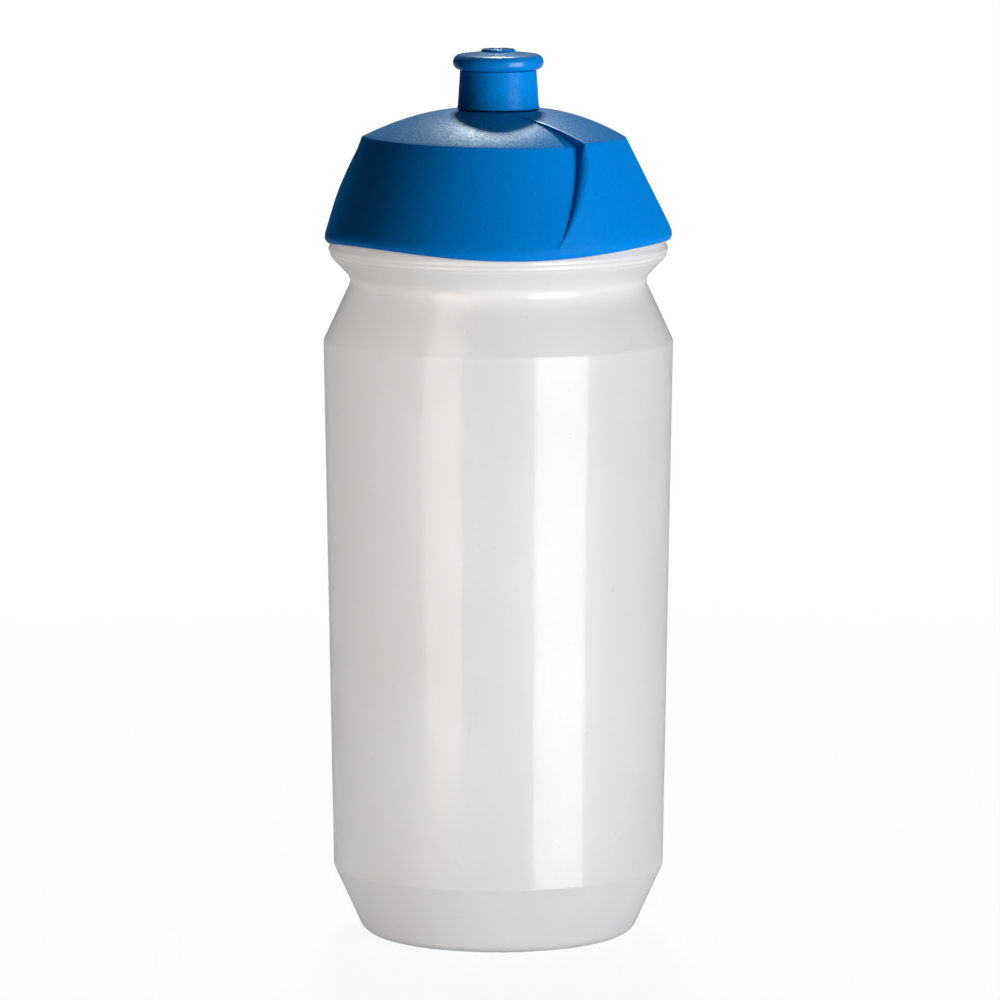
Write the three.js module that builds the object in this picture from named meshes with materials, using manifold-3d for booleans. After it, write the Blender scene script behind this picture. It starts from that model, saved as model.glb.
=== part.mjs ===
// A sports squeeze bottle: a translucent blown bottle, a screw lid with three swirled grip panels,
// and a push-pull spout. Millimetres, +Z up, origin at the centre of the ring that the bottle stands on.
// Azimuth is counted from the front (-Y) towards the right (+X).
import * as THREE from "three";
import { mergeVertices, toCreasedNormals } from "three/addons/utils/BufferGeometryUtils.js";
import Module from "manifold-3d";

const wasm = await Module();
wasm.setup();

// Fits between pieces
const seatGap = 0.3;
const slideGap = 0.3;
const threadGap = 0.5;
const cutOverrun = 1.0;

// Bottle, blown in one piece: its heights stack from the foot up
const bottleWall = 1.2;
const pushUpHeight = 4.6;
const pushUpSlope = 4.4;
const pushUpRound = 2.0;
const footInnerRound = 0.8;
const footFlat = 1.7;
const footRound = 3.4;
const baseConeHeight = 14.6;
const baseConeInset = 6.6;
const baseEdgeRound = 1.6;
const bodyTopRadius = 37.0;
const bodyTaper = 1.9;
const bodyHeight = 112.2;
const shoulderRound = 3.0;
const shoulderHeight = 13.1;
const grooveDepth = 4.95;
const grooveRound = 2.3;
const beadConeHeight = 5.05;
const beadLowRound = 1.2;
const beadHeight = 2.35;
const beadTopRound = 1.6;
const beadInset = 1.15;
const beadLedge = 7.85;
const ledgeRise = 0.6;
const neckWall = 1.6;
const neckRootRound = 0.8;
const neckLipRound = 0.4;
const neckHeight = 12.0;

// Right-hand thread, one start, on the neck and in the lid
const threadPitch = 4.2;
const threadDepth = 1.5;
const threadRootWidth = 1.9;
const threadCrestWidth = 0.9;
const threadFlankGap = 0.35;
const threadTurns = 1.1;
const threadLeadIn = 0.08;
const threadStartRise = 4.6;
const threadEmbed = 0.5;

// Lid, outside
const rimOverhang = 0.85;
const rimLip = 0.9;
const rimLift = 0.4;
const rimWave = 0.8;
const rimWaveAzimuth = 7;
const rimRoundHeight = 1.7;
const panelCount = 3;
const stepFootAzimuth = 19.0;
const stepSweep = 19.1;
const stepCreaseOffset = 8.0;
const stepDepth = 2.7;
const stepDrop = 1.1;
const stepRound = 0.5;
const skirtBulge = 0.6;
const edgeRise = 7.5;
const edgeWall = 1.5;
const edgeRound = 0.7;
const domeRise = 5.3;
const crownRadius = 9.0;

// Lid, inside
const skirtWall = 1.3;
const collarWall = 1.4;
const collarFootGap = 0.7;
const collarTopDrop = 1.1;
const gasketThickness = 1.2;
const gasketMargin = 0.6;
const plugLipWall = 1.2;
const plugLipDepth = 4.2;
const plugLipRound = 0.4;
const domeWall = 1.7;
const bossWall = 1.4;
const bossDepth = 2.3;

// Valve stem, snapped into the lid from below
const stemBoreRadius = 3.6;
const stemWall = 1.3;
const stemFlangeWidth = 2.6;
const stemFlangeThickness = 1.4;
const headLip = 0.8;
const headDisc = 0.5;
const headCap = 1.2;
const flowGap = 0.9;
const pinRecess = 0.4;
const pinRound = 0.5;
const windowMargin = 0.35;
const windowCount = 3;
const windowSweep = 80;
const sealRingHeight = 1.0;
const sealRingWidth = 0.8;
const sealRingRound = 0.3;

// Sliding nozzle: a stiff sleeve with a soft mouthpiece on its neck
const sleeveHeight = 7.7;
const sleeveWall = 1.85;
const sleeveFlare = 0.5;
const sleeveFootLip = 0.35;
const sleeveFootHeight = 0.5;
const sleeveEdgeRound = 0.3;
const sleeveNeckWall = 1.0;
const sleeveNeckHeight = 2.0;
const ribThickness = 0.8;
const flangeThickness = 2.9;
const flangeOverhang = 1.55;
const mouthCrownRise = 0.7;
const orificeRadius = 2.3;
const orificeLipWidth = 1.15;
const orificeLipHeight = 0.9;
const orificeLipRound = 0.35;

// Colours and finishes
const lidBlue = 0x0a68c4;
const mouthBlue = 0x0a6ccb;
const bottleMilk = 0xdcdee0;
const sealGrey = 0xc9ccce;

// Fineness of the faceted solids
const wideSegments = 44;
const spoutSegments = 24;
const arcSteps = 2;
const creaseAngle = 25;
const rimArcAngles = [90, 60, 30];
const columnShares = [0.02, 0.06, 0.12, 0.19, 0.26, 0.34, 0.42, 0.5, 0.58, 0.66, 0.74, 0.82, 0.9, 0.96, 1];
const skirtRowShares = [0, 0.07, 0.17, 0.3, 0.44, 0.6, 0.76, 0.89];
const domeRowShares = [0.82, 0.65, 0.48, 0.3, 0.14, 0];
const insideDomeShares = [0.75, 0.5, 0.25];

// Shape exponents of the lid's swirl, which have no unit
const panelFallPower = 3;
const panelDropPower = 1.1;
const stepFadePower = 1.9;
const stepSweepPower = 0.89;
const domePower = 1.65;
const domeStepPower = 4;

// Heights worked out from the sizes above
const baseEdgeZ = baseConeHeight;
const shoulderZ = baseEdgeZ + bodyHeight;
const grooveZ = shoulderZ + shoulderHeight;
const beadLowZ = grooveZ + beadConeHeight;
const beadTopZ = beadLowZ + beadHeight;
const neckRootZ = beadTopZ + ledgeRise;
const neckTopZ = neckRootZ + neckHeight;
const gasketZ = neckTopZ + seatGap;
const landZ = gasketZ + gasketThickness + seatGap;
const rimZ = beadTopZ + rimLift;
const lowEdgeZ = landZ + edgeRise;
const highEdgeZ = lowEdgeZ + stepDrop;
const crownZ = highEdgeZ + domeRise;
const skirtHeight = highEdgeZ - rimZ - rimRoundHeight;
const collarFootZ = neckRootZ + collarFootGap;
const collarTopZ = neckTopZ - collarTopDrop;
const crownUnderZ = crownZ - domeWall;
const nozzleFootZ = crownZ + seatGap;
const sleeveShoulderZ = nozzleFootZ + sleeveHeight;
const sleeveNeckTopZ = sleeveShoulderZ + sleeveNeckHeight;
const mouthFootZ = sleeveShoulderZ + seatGap;
const mouthRoofZ = sleeveNeckTopZ + seatGap;
const flangeTopZ = mouthFootZ + flangeThickness;
const mouthCrownZ = flangeTopZ + mouthCrownRise;
const orificeLipZ = mouthCrownZ + orificeLipHeight;
const headTopZ = mouthRoofZ - flowGap;
const sealGrooveHeight = sealRingHeight + 2 * seatGap;
const headFootZ = headTopZ - sealGrooveHeight - 2 * headDisc;

// Radii worked out from the sizes above
const beadRadius = bodyTopRadius - beadInset;
const neckRadius = beadRadius - beadLedge;
const neckBoreRadius = neckRadius - neckWall;
const grooveRadius = beadRadius - grooveDepth;
const bodyFootRadius = bodyTopRadius - bodyTaper;
const baseCornerRadius = bodyFootRadius - baseConeInset;
const threadRadius = neckRadius + threadDepth;
const collarBore = threadRadius + threadGap;
const collarRadius = collarBore + collarWall;
const rimRadius = beadRadius + rimOverhang;
const rimInnerRadius = rimRadius - rimLip;
const landRadius = neckRadius + gasketMargin;
const plugLipRadius = neckBoreRadius - seatGap;
const lidBore = plugLipRadius - plugLipWall;
const lowEdgeRadius = lidBore + edgeWall;
const highEdgeRadius = lowEdgeRadius + stepDepth;
const stemRadius = stemBoreRadius + stemWall;
const stemFlangeRadius = stemRadius + stemFlangeWidth;
const headRadius = stemRadius + headLip;
const bossBore = stemFlangeRadius + seatGap;
const bossRadius = bossBore + bossWall;
const sealRingInner = stemRadius + slideGap / 2;
const sealRingRadius = sealRingInner + sealRingWidth;
const sleeveBore = sealRingRadius + slideGap;
const sleeveRadius = sleeveBore + sleeveWall;
const sleeveNeckRadius = sleeveBore + sleeveNeckWall;
const mouthBore = sleeveNeckRadius + seatGap;
const flangeRadius = sleeveRadius + flangeOverhang;
const pinRadius = orificeRadius - slideGap;

const rad = THREE.MathUtils.degToRad;
const turn = 2 * Math.PI;

// A corner of an outline: radius from the axis, height, and the fillet there.
function corner(r, z, fillet = 0) {
  return { r, z, fillet };
}

// Points of an outline whose corners are rounded by arcs. A fillet is limited by its two walls.
function rounded(corners) {
  const points = [];
  corners.forEach((here, i) => {
    const before = corners[i - 1];
    const after = corners[i + 1];
    const at = new THREE.Vector2(here.r, here.z);
    if (!here.fillet || !before || !after) {
      points.push(at);
      return;
    }
    const back = new THREE.Vector2(before.r, before.z).sub(at);
    const ahead = new THREE.Vector2(after.r, after.z).sub(at);
    const half = back.angleTo(ahead) / 2;
    const longest = Math.min(back.length(), ahead.length()) / 2;
    const reach = Math.min(here.fillet / Math.tan(half), longest);
    const radius = reach * Math.tan(half);
    const start = at.clone().addScaledVector(back.normalize(), reach);
    const end = at.clone().addScaledVector(ahead.normalize(), reach);
    const middle = back.clone().add(ahead).normalize();
    const centre = at.clone().addScaledVector(middle, radius / Math.sin(half));
    const from = start.clone().sub(centre);
    const sweep = Math.atan2(from.cross(end.clone().sub(centre)), from.dot(end.clone().sub(centre)));
    for (let step = 0; step <= arcSteps; step++) {
      points.push(from.clone().rotateAround(new THREE.Vector2(), (sweep * step) / arcSteps).add(centre));
    }
  });
  return points;
}

// The corners of an outline moved to its left by a wall, one thickness for each side of the outline.
function inset(corners, walls) {
  const sides = walls.map((wall, i) => {
    const from = new THREE.Vector2(corners[i].r, corners[i].z);
    const along = new THREE.Vector2(corners[i + 1].r, corners[i + 1].z).sub(from).normalize();
    const left = new THREE.Vector2(-along.y, along.x);
    return { from: from.addScaledVector(left, wall), along, wall };
  });
  return corners.slice(1, -1).map((here, i) => {
    const [a, b] = [sides[i], sides[i + 1]];
    const bend = a.along.cross(b.along);
    const distance = b.from.clone().sub(a.from).cross(b.along) / bend;
    const point = a.from.clone().addScaledVector(a.along, distance);
    const fillet = here.fillet ? Math.max(here.fillet - Math.sign(bend) * a.wall, a.wall / 2) : 0;
    return corner(point.x, point.y, fillet);
  });
}

// A closed geometry as a solid that can be cut and joined.
function solidOf(geometry) {
  geometry.deleteAttribute("normal");
  geometry.deleteAttribute("uv");
  const merged = mergeVertices(geometry);
  const kept = [];
  const index = merged.index.array;
  let volume = 0;
  const [a, b, c] = [new THREE.Vector3(), new THREE.Vector3(), new THREE.Vector3()];
  for (let i = 0; i < index.length; i += 3) {
    const [p, q, s] = index.subarray(i, i + 3);
    if (p === q || q === s || s === p) continue;
    kept.push(p, q, s);
    a.fromBufferAttribute(merged.attributes.position, p);
    b.fromBufferAttribute(merged.attributes.position, q);
    c.fromBufferAttribute(merged.attributes.position, s);
    volume += a.dot(b.cross(c));
  }
  if (volume < 0) kept.reverse();
  return new wasm.Manifold(
    new wasm.Mesh({
      numProp: 3,
      vertProperties: new Float32Array(merged.attributes.position.array),
      triVerts: new Uint32Array(kept),
    }),
  );
}

// A solid of revolution about Z.
function turned(points, segments) {
  const profile = points.map((point) => new THREE.Vector2(Math.max(point.x, 0), point.y));
  return solidOf(new THREE.LatheGeometry(profile, segments).rotateX(Math.PI / 2));
}

// A ring of revolution, from an outline that closes on itself.
function turnedRing(corners, segments) {
  const loop = rounded([corners[corners.length - 1], ...corners, corners[0]]).slice(1, -1);
  return turned([...loop, loop[0]], segments);
}

// A solid through a stack of closed loops with equally many points, with a fan over each end.
function loft(loops) {
  const size = loops[0].length;
  const vertices = loops.flat();
  const faces = [];
  for (let k = 0; k + 1 < loops.length; k++) {
    for (let i = 0; i < size; i++) {
      const [a, b] = [k * size + i, k * size + ((i + 1) % size)];
      faces.push(a, b, b + size, a, b + size, a + size);
    }
  }
  for (const outward of [false, true]) {
    const loop = outward ? loops.at(-1) : loops[0];
    const first = outward ? (loops.length - 1) * size : 0;
    const centre = vertices.length;
    vertices.push(loop.reduce((sum, point) => sum.add(point), new THREE.Vector3()).divideScalar(size));
    for (let i = 0; i < size; i++) {
      const [a, b] = [first + i, first + ((i + 1) % size)];
      faces.push(...(outward ? [a, b, centre] : [b, a, centre]));
    }
  }
  return solidOf(new THREE.BufferGeometry().setFromPoints(vertices).setIndex(faces));
}

// A point by its radius, azimuth in degrees and height.
function polar(r, azimuth, z) {
  return new THREE.Vector3(r * Math.sin(rad(azimuth)), -r * Math.cos(rad(azimuth)), z);
}

// One thread ridge: root and crest radii, and the height of its middle at azimuth 0.
// Its ends run out into the wall.
function threadRidge(rootRadius, crestRadius, startZ) {
  const steps = Math.round((threadTurns * wideSegments) / 2);
  const buried = rootRadius - Math.sign(crestRadius - rootRadius) * threadEmbed;
  const loops = [];
  for (let i = 0; i <= steps; i++) {
    const wound = (threadTurns * i) / steps;
    const shown = Math.min(1, Math.min(wound, threadTurns - wound) / threadLeadIn);
    const crest = THREE.MathUtils.lerp(rootRadius, crestRadius, shown);
    const middle = startZ + threadPitch * wound;
    const azimuth = 360 * wound;
    loops.push([
      polar(buried, azimuth, middle - threadRootWidth / 2),
      polar(rootRadius, azimuth, middle - threadRootWidth / 2),
      polar(crest, azimuth, middle - threadCrestWidth / 2),
      polar(crest, azimuth, middle + threadCrestWidth / 2),
      polar(rootRadius, azimuth, middle + threadRootWidth / 2),
      polar(buried, azimuth, middle + threadRootWidth / 2),
    ]);
  }
  return loft(loops);
}

const neckThreadZ = neckRootZ + threadStartRise;
const lidThreadZ = neckThreadZ - (threadRootWidth + threadCrestWidth) / 2 - threadFlankGap;

// The bottle: push-up base, tapered body, cage groove, bead and threaded neck, as one thin shell.
function bottleBody() {
  const coneLean = baseConeInset / baseConeHeight;
  const footOuter = baseCornerRadius - footRound * (Math.sqrt(1 + coneLean * coneLean) - coneLean);
  const footInner = footOuter - footFlat;
  const outside = [
    corner(0, pushUpHeight),
    corner(footInner - pushUpSlope, pushUpHeight, pushUpRound),
    corner(footInner, 0, footInnerRound),
    corner(baseCornerRadius, 0, footRound),
    corner(bodyFootRadius, baseEdgeZ, baseEdgeRound),
    corner(bodyTopRadius, shoulderZ, shoulderRound),
    corner(grooveRadius, grooveZ, grooveRound),
    corner(beadRadius, beadLowZ, beadLowRound),
    corner(beadRadius, beadTopZ, beadTopRound),
    corner(neckRadius, neckRootZ, neckRootRound),
    corner(neckRadius, neckTopZ, neckLipRound),
  ];
  const walls = outside.slice(1).map((_, i) => (i === outside.length - 2 ? neckWall : bottleWall));
  const inside = [
    corner(0, pushUpHeight + bottleWall),
    ...inset(outside, walls),
    corner(neckBoreRadius, neckTopZ, neckLipRound),
  ];
  const shell = turned(rounded([...outside, ...inside.reverse()]), wideSegments);
  return shell.add(threadRidge(neckRadius, threadRadius, neckThreadZ));
}

// How far a panel has fallen back, from 0 at its proud edge to 1 where the next panel starts.
function fall(share, power) {
  return 1 - Math.pow(1 - share, power);
}

// A point of the lid's skirt: share of a panel, share of the skirt's height, and which panel.
function skirtPoint(panel, share, rise, shrink = 0) {
  const stepAzimuth = stepFootAzimuth + stepSweep * Math.pow(rise, stepSweepPower);
  const azimuth = stepAzimuth + (360 / panelCount) * (panel + share);
  const footZ = rimZ - rimWave * Math.cos(panelCount * rad(azimuth - rimWaveAzimuth)) + rimRoundHeight;
  const edgeZ = highEdgeZ - stepDrop * fall(share, panelDropPower);
  const step = stepDepth * fall(rise, stepFadePower);
  const lean = THREE.MathUtils.lerp(rimRadius, highEdgeRadius, rise);
  const radius = lean + 4 * skirtBulge * rise * (1 - rise) - step * fall(share, panelFallPower);
  const cutBack = share === 0 ? Math.min(stepRound, step / 2) : 0;
  return { radius: radius - cutBack - shrink, azimuth, z: THREE.MathUtils.lerp(footZ, edgeZ, rise) };
}

// Height of the dome over a point a share of the way from the crown to the edge.
function domeZ(out, drop) {
  return crownZ - domeRise * Math.pow(out, domePower) - stepDrop * drop * Math.pow(out, domeStepPower);
}

// The step's line on the dome is straight seen from above, and passes the axis at a distance.
// This is how far it has turned at a radius, in degrees.
function creaseTurn(radius) {
  return THREE.MathUtils.radToDeg(Math.acos(Math.min(stepCreaseOffset / radius, 1)));
}

// A loop around the lid, with two columns at each step so that the step is a wall.
function panelLoop(pointAt) {
  const loop = [];
  for (let panel = 0; panel < panelCount; panel++) {
    for (const share of [0, ...columnShares]) loop.push(pointAt(panel, share));
  }
  return loop;
}

// The lid's outside as a solid block: rolled rim, three swirled panels, edge and dome.
function lidBlock() {
  const place = ({ radius, azimuth, z }) => polar(radius, azimuth, z);
  const loops = [
    panelLoop((panel, share) => {
      const foot = skirtPoint(panel, share, 0);
      return polar(rimInnerRadius - cutOverrun, foot.azimuth, foot.z - rimRoundHeight);
    }),
  ];
  for (const angle of rimArcAngles) {
    loops.push(
      panelLoop((panel, share) => {
        const foot = skirtPoint(panel, share, 0);
        const out = rimLip * (1 - Math.cos(rad(angle)));
        const down = rimRoundHeight * Math.sin(rad(angle));
        return polar(foot.radius - out, foot.azimuth, foot.z - down);
      }),
    );
  }
  for (const rise of [...skirtRowShares, 1 - edgeRound / skirtHeight]) {
    loops.push(panelLoop((panel, share) => place(skirtPoint(panel, share, rise))));
  }
  const roundedOut = 1 - edgeRound / (highEdgeRadius - crownRadius);
  for (const out of [roundedOut, ...domeRowShares]) {
    loops.push(
      panelLoop((panel, share) => {
        const edge = skirtPoint(panel, share, 1);
        const drop = fall(share, panelDropPower);
        const radius = THREE.MathUtils.lerp(crownRadius, edge.radius, out);
        const lowered = share === 0 ? Math.min(stepRound, (stepDrop * Math.pow(out, domeStepPower)) / 2) : 0;
        const azimuth = edge.azimuth - creaseTurn(edge.radius) + creaseTurn(radius);
        return polar(radius, azimuth, domeZ(out, drop) - lowered);
      }),
    );
  }
  return loft(loops);
}

// The space inside the lid: thread collar, gasket land, plug lip, dome and stem boss are what it leaves.
function lidHollow() {
  const foot = rimZ - rimWave - cutOverrun;
  const span = lowEdgeRadius - crownRadius;
  const dome = [(lidBore - crownRadius) / span, ...insideDomeShares].map((out) =>
    corner(crownRadius + span * out, domeZ(out, 1) - domeWall),
  );
  return turned(
    rounded([
      corner(0, foot),
      corner(rimInnerRadius, foot),
      corner(rimInnerRadius, collarFootZ),
      corner(collarBore, collarFootZ),
      corner(collarBore, collarTopZ),
      corner(landRadius, collarTopZ + gasketMargin),
      corner(landRadius, landZ),
      corner(plugLipRadius, landZ),
      corner(plugLipRadius, landZ - plugLipDepth, plugLipRound),
      corner(lidBore, landZ - plugLipDepth, plugLipRound),
      ...dome,
      corner(bossRadius, domeZ(0, 1) - domeWall),
      corner(bossRadius, crownUnderZ - bossDepth),
      corner(bossBore, crownUnderZ - bossDepth),
      corner(bossBore, crownUnderZ),
      corner(stemRadius + seatGap, crownUnderZ),
      corner(stemRadius + seatGap, crownZ + cutOverrun),
      corner(0, crownZ + cutOverrun),
    ]),
    wideSegments,
  );
}

// The pocket between the thread collar and the outer skirt, which keeps the walls thin.
function skirtPocket() {
  const wall = [];
  for (const rise of skirtRowShares) {
    const skin = skirtPoint(0, 1, rise, skirtWall);
    if (skin.radius < collarRadius + slideGap) continue;
    wall.push(corner(Math.min(skin.radius, rimInnerRadius), skin.z));
  }
  const foot = collarFootZ - cutOverrun;
  const top = wall.at(-1).z;
  return turnedRing(
    [corner(collarRadius, foot), corner(rimInnerRadius, foot), ...wall, corner(collarRadius, top)],
    wideSegments,
  );
}

function screwLid() {
  return lidBlock()
    .subtract(lidHollow())
    .subtract(skirtPocket())
    .add(threadRidge(collarBore, neckRadius + threadGap, lidThreadZ));
}

function lidGasket() {
  const inner = plugLipRadius + seatGap / 2;
  const outer = landRadius - seatGap / 2;
  return turnedRing(
    [
      corner(inner, gasketZ),
      corner(outer, gasketZ),
      corner(outer, gasketZ + gasketThickness),
      corner(inner, gasketZ + gasketThickness),
    ],
    wideSegments,
  );
}

// One window in the head of the stem, between the pin and the wall of the tube.
function stemWindow(k) {
  const start = turn * (k / windowCount);
  const sweep = rad(windowSweep);
  const shape = new THREE.Shape();
  shape.absarc(0, 0, stemBoreRadius, start, start + sweep, false);
  shape.absarc(0, 0, pinRadius + windowMargin, start + sweep, start, true);
  const depth = headCap + 2 * cutOverrun;
  const cut = new THREE.ExtrudeGeometry(shape, { depth, bevelEnabled: false, curveSegments: arcSteps * 2 });
  return solidOf(cut.translate(0, 0, headTopZ - headCap - cutOverrun));
}

// The stem: snap flange, tube, grooved head for the seal ring, and the pin that plugs the orifice.
function valveStem() {
  const flangeTop = crownUnderZ - seatGap;
  const flangeFoot = flangeTop - stemFlangeThickness;
  const groove = headFootZ + headDisc;
  const pinTop = orificeLipZ - pinRecess;
  const body = turned(
    rounded([
      corner(0, headTopZ - headCap),
      corner(stemBoreRadius, headTopZ - headCap),
      corner(stemBoreRadius, flangeFoot),
      corner(stemFlangeRadius, flangeFoot),
      corner(stemFlangeRadius, flangeTop),
      corner(stemRadius, flangeTop),
      corner(stemRadius, headFootZ),
      corner(headRadius, headFootZ),
      corner(headRadius, groove),
      corner(stemRadius, groove),
      corner(stemRadius, groove + sealGrooveHeight),
      corner(headRadius, groove + sealGrooveHeight),
      corner(headRadius, headTopZ),
      corner(pinRadius, headTopZ),
      corner(pinRadius, pinTop, pinRound),
      corner(0, pinTop),
    ]),
    spoutSegments,
  );
  const windows = Array.from({ length: windowCount }, (_, k) => stemWindow(k));
  return windows.reduce((stem, window) => stem.subtract(window), body);
}

function stemSealRing() {
  const foot = headFootZ + headDisc + seatGap;
  return turnedRing(
    [
      corner(sealRingInner, foot, sealRingRound),
      corner(sealRingRadius, foot, sealRingRound),
      corner(sealRingRadius, foot + sealRingHeight, sealRingRound),
      corner(sealRingInner, foot + sealRingHeight, sealRingRound),
    ],
    spoutSegments,
  );
}

// The sleeve: flared tube with a foot lip, an inner rib that stops under the stem's head, and a neck on top.
function nozzleSleeve() {
  const footRadius = sleeveRadius + sleeveFlare;
  return turnedRing(
    [
      corner(stemRadius + slideGap, nozzleFootZ),
      corner(footRadius + sleeveFootLip, nozzleFootZ, sleeveEdgeRound),
      corner(footRadius, nozzleFootZ + sleeveFootHeight),
      corner(sleeveRadius, sleeveShoulderZ, sleeveEdgeRound),
      corner(sleeveNeckRadius, sleeveShoulderZ),
      corner(sleeveNeckRadius, sleeveNeckTopZ, sleeveEdgeRound),
      corner(sleeveBore, sleeveNeckTopZ),
      corner(sleeveBore, nozzleFootZ + ribThickness),
      corner(stemRadius + slideGap, nozzleFootZ + ribThickness),
    ],
    spoutSegments,
  );
}

// The mouthpiece: a round-edged flange, a low crown and a raised lip around the orifice.
function mouthpiece() {
  const edge = flangeThickness / 2;
  const lipRadius = orificeRadius + orificeLipWidth;
  return turnedRing(
    [
      corner(mouthBore, mouthFootZ),
      corner(flangeRadius, mouthFootZ, edge),
      corner(flangeRadius, flangeTopZ, edge),
      corner(lipRadius, mouthCrownZ),
      corner(lipRadius, orificeLipZ, orificeLipRound),
      corner(orificeRadius, orificeLipZ, orificeLipRound),
      corner(orificeRadius, mouthRoofZ),
      corner(mouthBore, mouthRoofZ),
    ],
    spoutSegments,
  );
}

// A named mesh of a solid, with smooth shading over its rounds and crisp edges.
function mesh(name, solid, look) {
  const { numProp, vertProperties, triVerts } = solid.getMesh();
  const positions = new Float32Array((vertProperties.length / numProp) * 3);
  for (let i = 0; i * numProp < vertProperties.length; i++) {
    positions.set(vertProperties.subarray(i * numProp, i * numProp + 3), i * 3);
  }
  const geometry = new THREE.BufferGeometry()
    .setAttribute("position", new THREE.BufferAttribute(positions, 3))
    .setIndex(new THREE.BufferAttribute(triVerts, 1));
  const shaded = toCreasedNormals(geometry, rad(creaseAngle));
  const made = new THREE.Mesh(shaded, new THREE.MeshStandardMaterial(look));
  made.name = name;
  return made;
}

const nozzle = new THREE.Group();
nozzle.add(
  mesh("nozzle_sleeve", nozzleSleeve(), { color: lidBlue, roughness: 0.45, metalness: 0 }),
  mesh("mouthpiece", mouthpiece(), { color: mouthBlue, roughness: 0.35, metalness: 0 }),
);

const lid = new THREE.Group();
lid.add(
  mesh("screw_lid", screwLid(), { color: lidBlue, roughness: 0.5, metalness: 0 }),
  mesh("valve_stem", valveStem(), { color: lidBlue, roughness: 0.4, metalness: 0 }),
  mesh("stem_seal_ring", stemSealRing(), { color: sealGrey, roughness: 0.6, metalness: 0 }),
  nozzle,
);

const squeezeBottle = new THREE.Group();
squeezeBottle.add(
  mesh("bottle_body", bottleBody(), {
    color: bottleMilk,
    roughness: 0.3,
    metalness: 0,
    transparent: true,
    opacity: 0.8,
  }),
  mesh("lid_gasket", lidGasket(), { color: sealGrey, roughness: 0.6, metalness: 0 }),
  lid,
);

export default squeezeBottle;
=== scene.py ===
"""Looks of a sports squeeze bottle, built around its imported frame.

The sizes of the pieces are in millimetres and the objects in metres. +Z is up, the front is -Y, and an azimuth is
counted from the front towards the right (+X). A zone is a pair of limits between which something fades in.
"""
import logging
import math
from dataclasses import dataclass
from enum import Enum
from typing import Any, Callable, NamedTuple, Optional, Sequence, Union

import bmesh
import bpy
from mathutils import Matrix, Vector


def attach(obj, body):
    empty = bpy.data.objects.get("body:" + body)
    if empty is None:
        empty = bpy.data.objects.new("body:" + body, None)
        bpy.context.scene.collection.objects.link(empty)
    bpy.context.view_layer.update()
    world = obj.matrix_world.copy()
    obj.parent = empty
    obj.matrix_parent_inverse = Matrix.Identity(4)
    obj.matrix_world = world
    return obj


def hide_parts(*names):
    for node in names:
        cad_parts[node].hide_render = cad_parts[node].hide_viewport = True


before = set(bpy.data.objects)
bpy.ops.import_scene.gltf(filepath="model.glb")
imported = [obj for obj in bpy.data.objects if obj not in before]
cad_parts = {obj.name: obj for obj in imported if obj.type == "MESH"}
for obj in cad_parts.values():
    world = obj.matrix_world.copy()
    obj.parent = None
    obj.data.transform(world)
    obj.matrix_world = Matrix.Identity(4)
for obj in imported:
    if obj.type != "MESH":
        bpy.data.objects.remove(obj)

Number = Union[int, float]
Zone = tuple[float, float]
Triple = tuple[float, float, float]
Colour = Triple

MM = 0.001
MERGE_DISTANCE = 1e-7
NEAR = 0.1  # how near to a wall, in millimetres, a point counts as on it
FULL_TURN = 2 * math.pi
RIGHT_ANGLE = math.radians(90)
SHARP_ANGLE = math.radians(32)
MOST_OF_A_SIDE = 0.98  # that one fillet may take up
WHITE: Colour = (1.0, 1.0, 1.0)
BLACK: Colour = (0.0, 0.0, 0.0)
KEY_TINT: Colour = (0.97, 0.985, 1.0)
BOTTLE_PIECE = "blown_bottle"
BOTTLE_ONLY = (BOTTLE_PIECE,)
CREST_ATTRIBUTE = "crest"

log = logging.getLogger("squeeze_bottle")


def azimuth_of(point: Vector) -> float:
    """Degrees from the front towards the right, from 0 to 360."""
    return math.degrees(math.atan2(point.x, -point.y)) % 360


def blend(low: float, high: float, share: float) -> float:
    """The value a share of the way from low to high."""
    return low + (high - low) * share


def fall(share: float, power: float) -> float:
    """How far a surface has fallen back, from 0 to 1, quickly at first."""
    return 1 - (1 - min(max(share, 0.0), 1.0)) ** power


def move_out(vert: bmesh.types.BMVert, distance: float) -> None:
    """Moves a vertex away from the axis by a distance in metres."""
    away = Vector((vert.co.x, vert.co.y, 0)).normalized()
    vert.co += away * distance


class Corner(NamedTuple):
    """A corner of a half section: radius and height, the radius of its fillet, and a mark its vertices keep."""

    r: float
    z: float
    fillet: float = 0.0
    mark: int = 0


Corners = tuple[Corner, ...]


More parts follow.
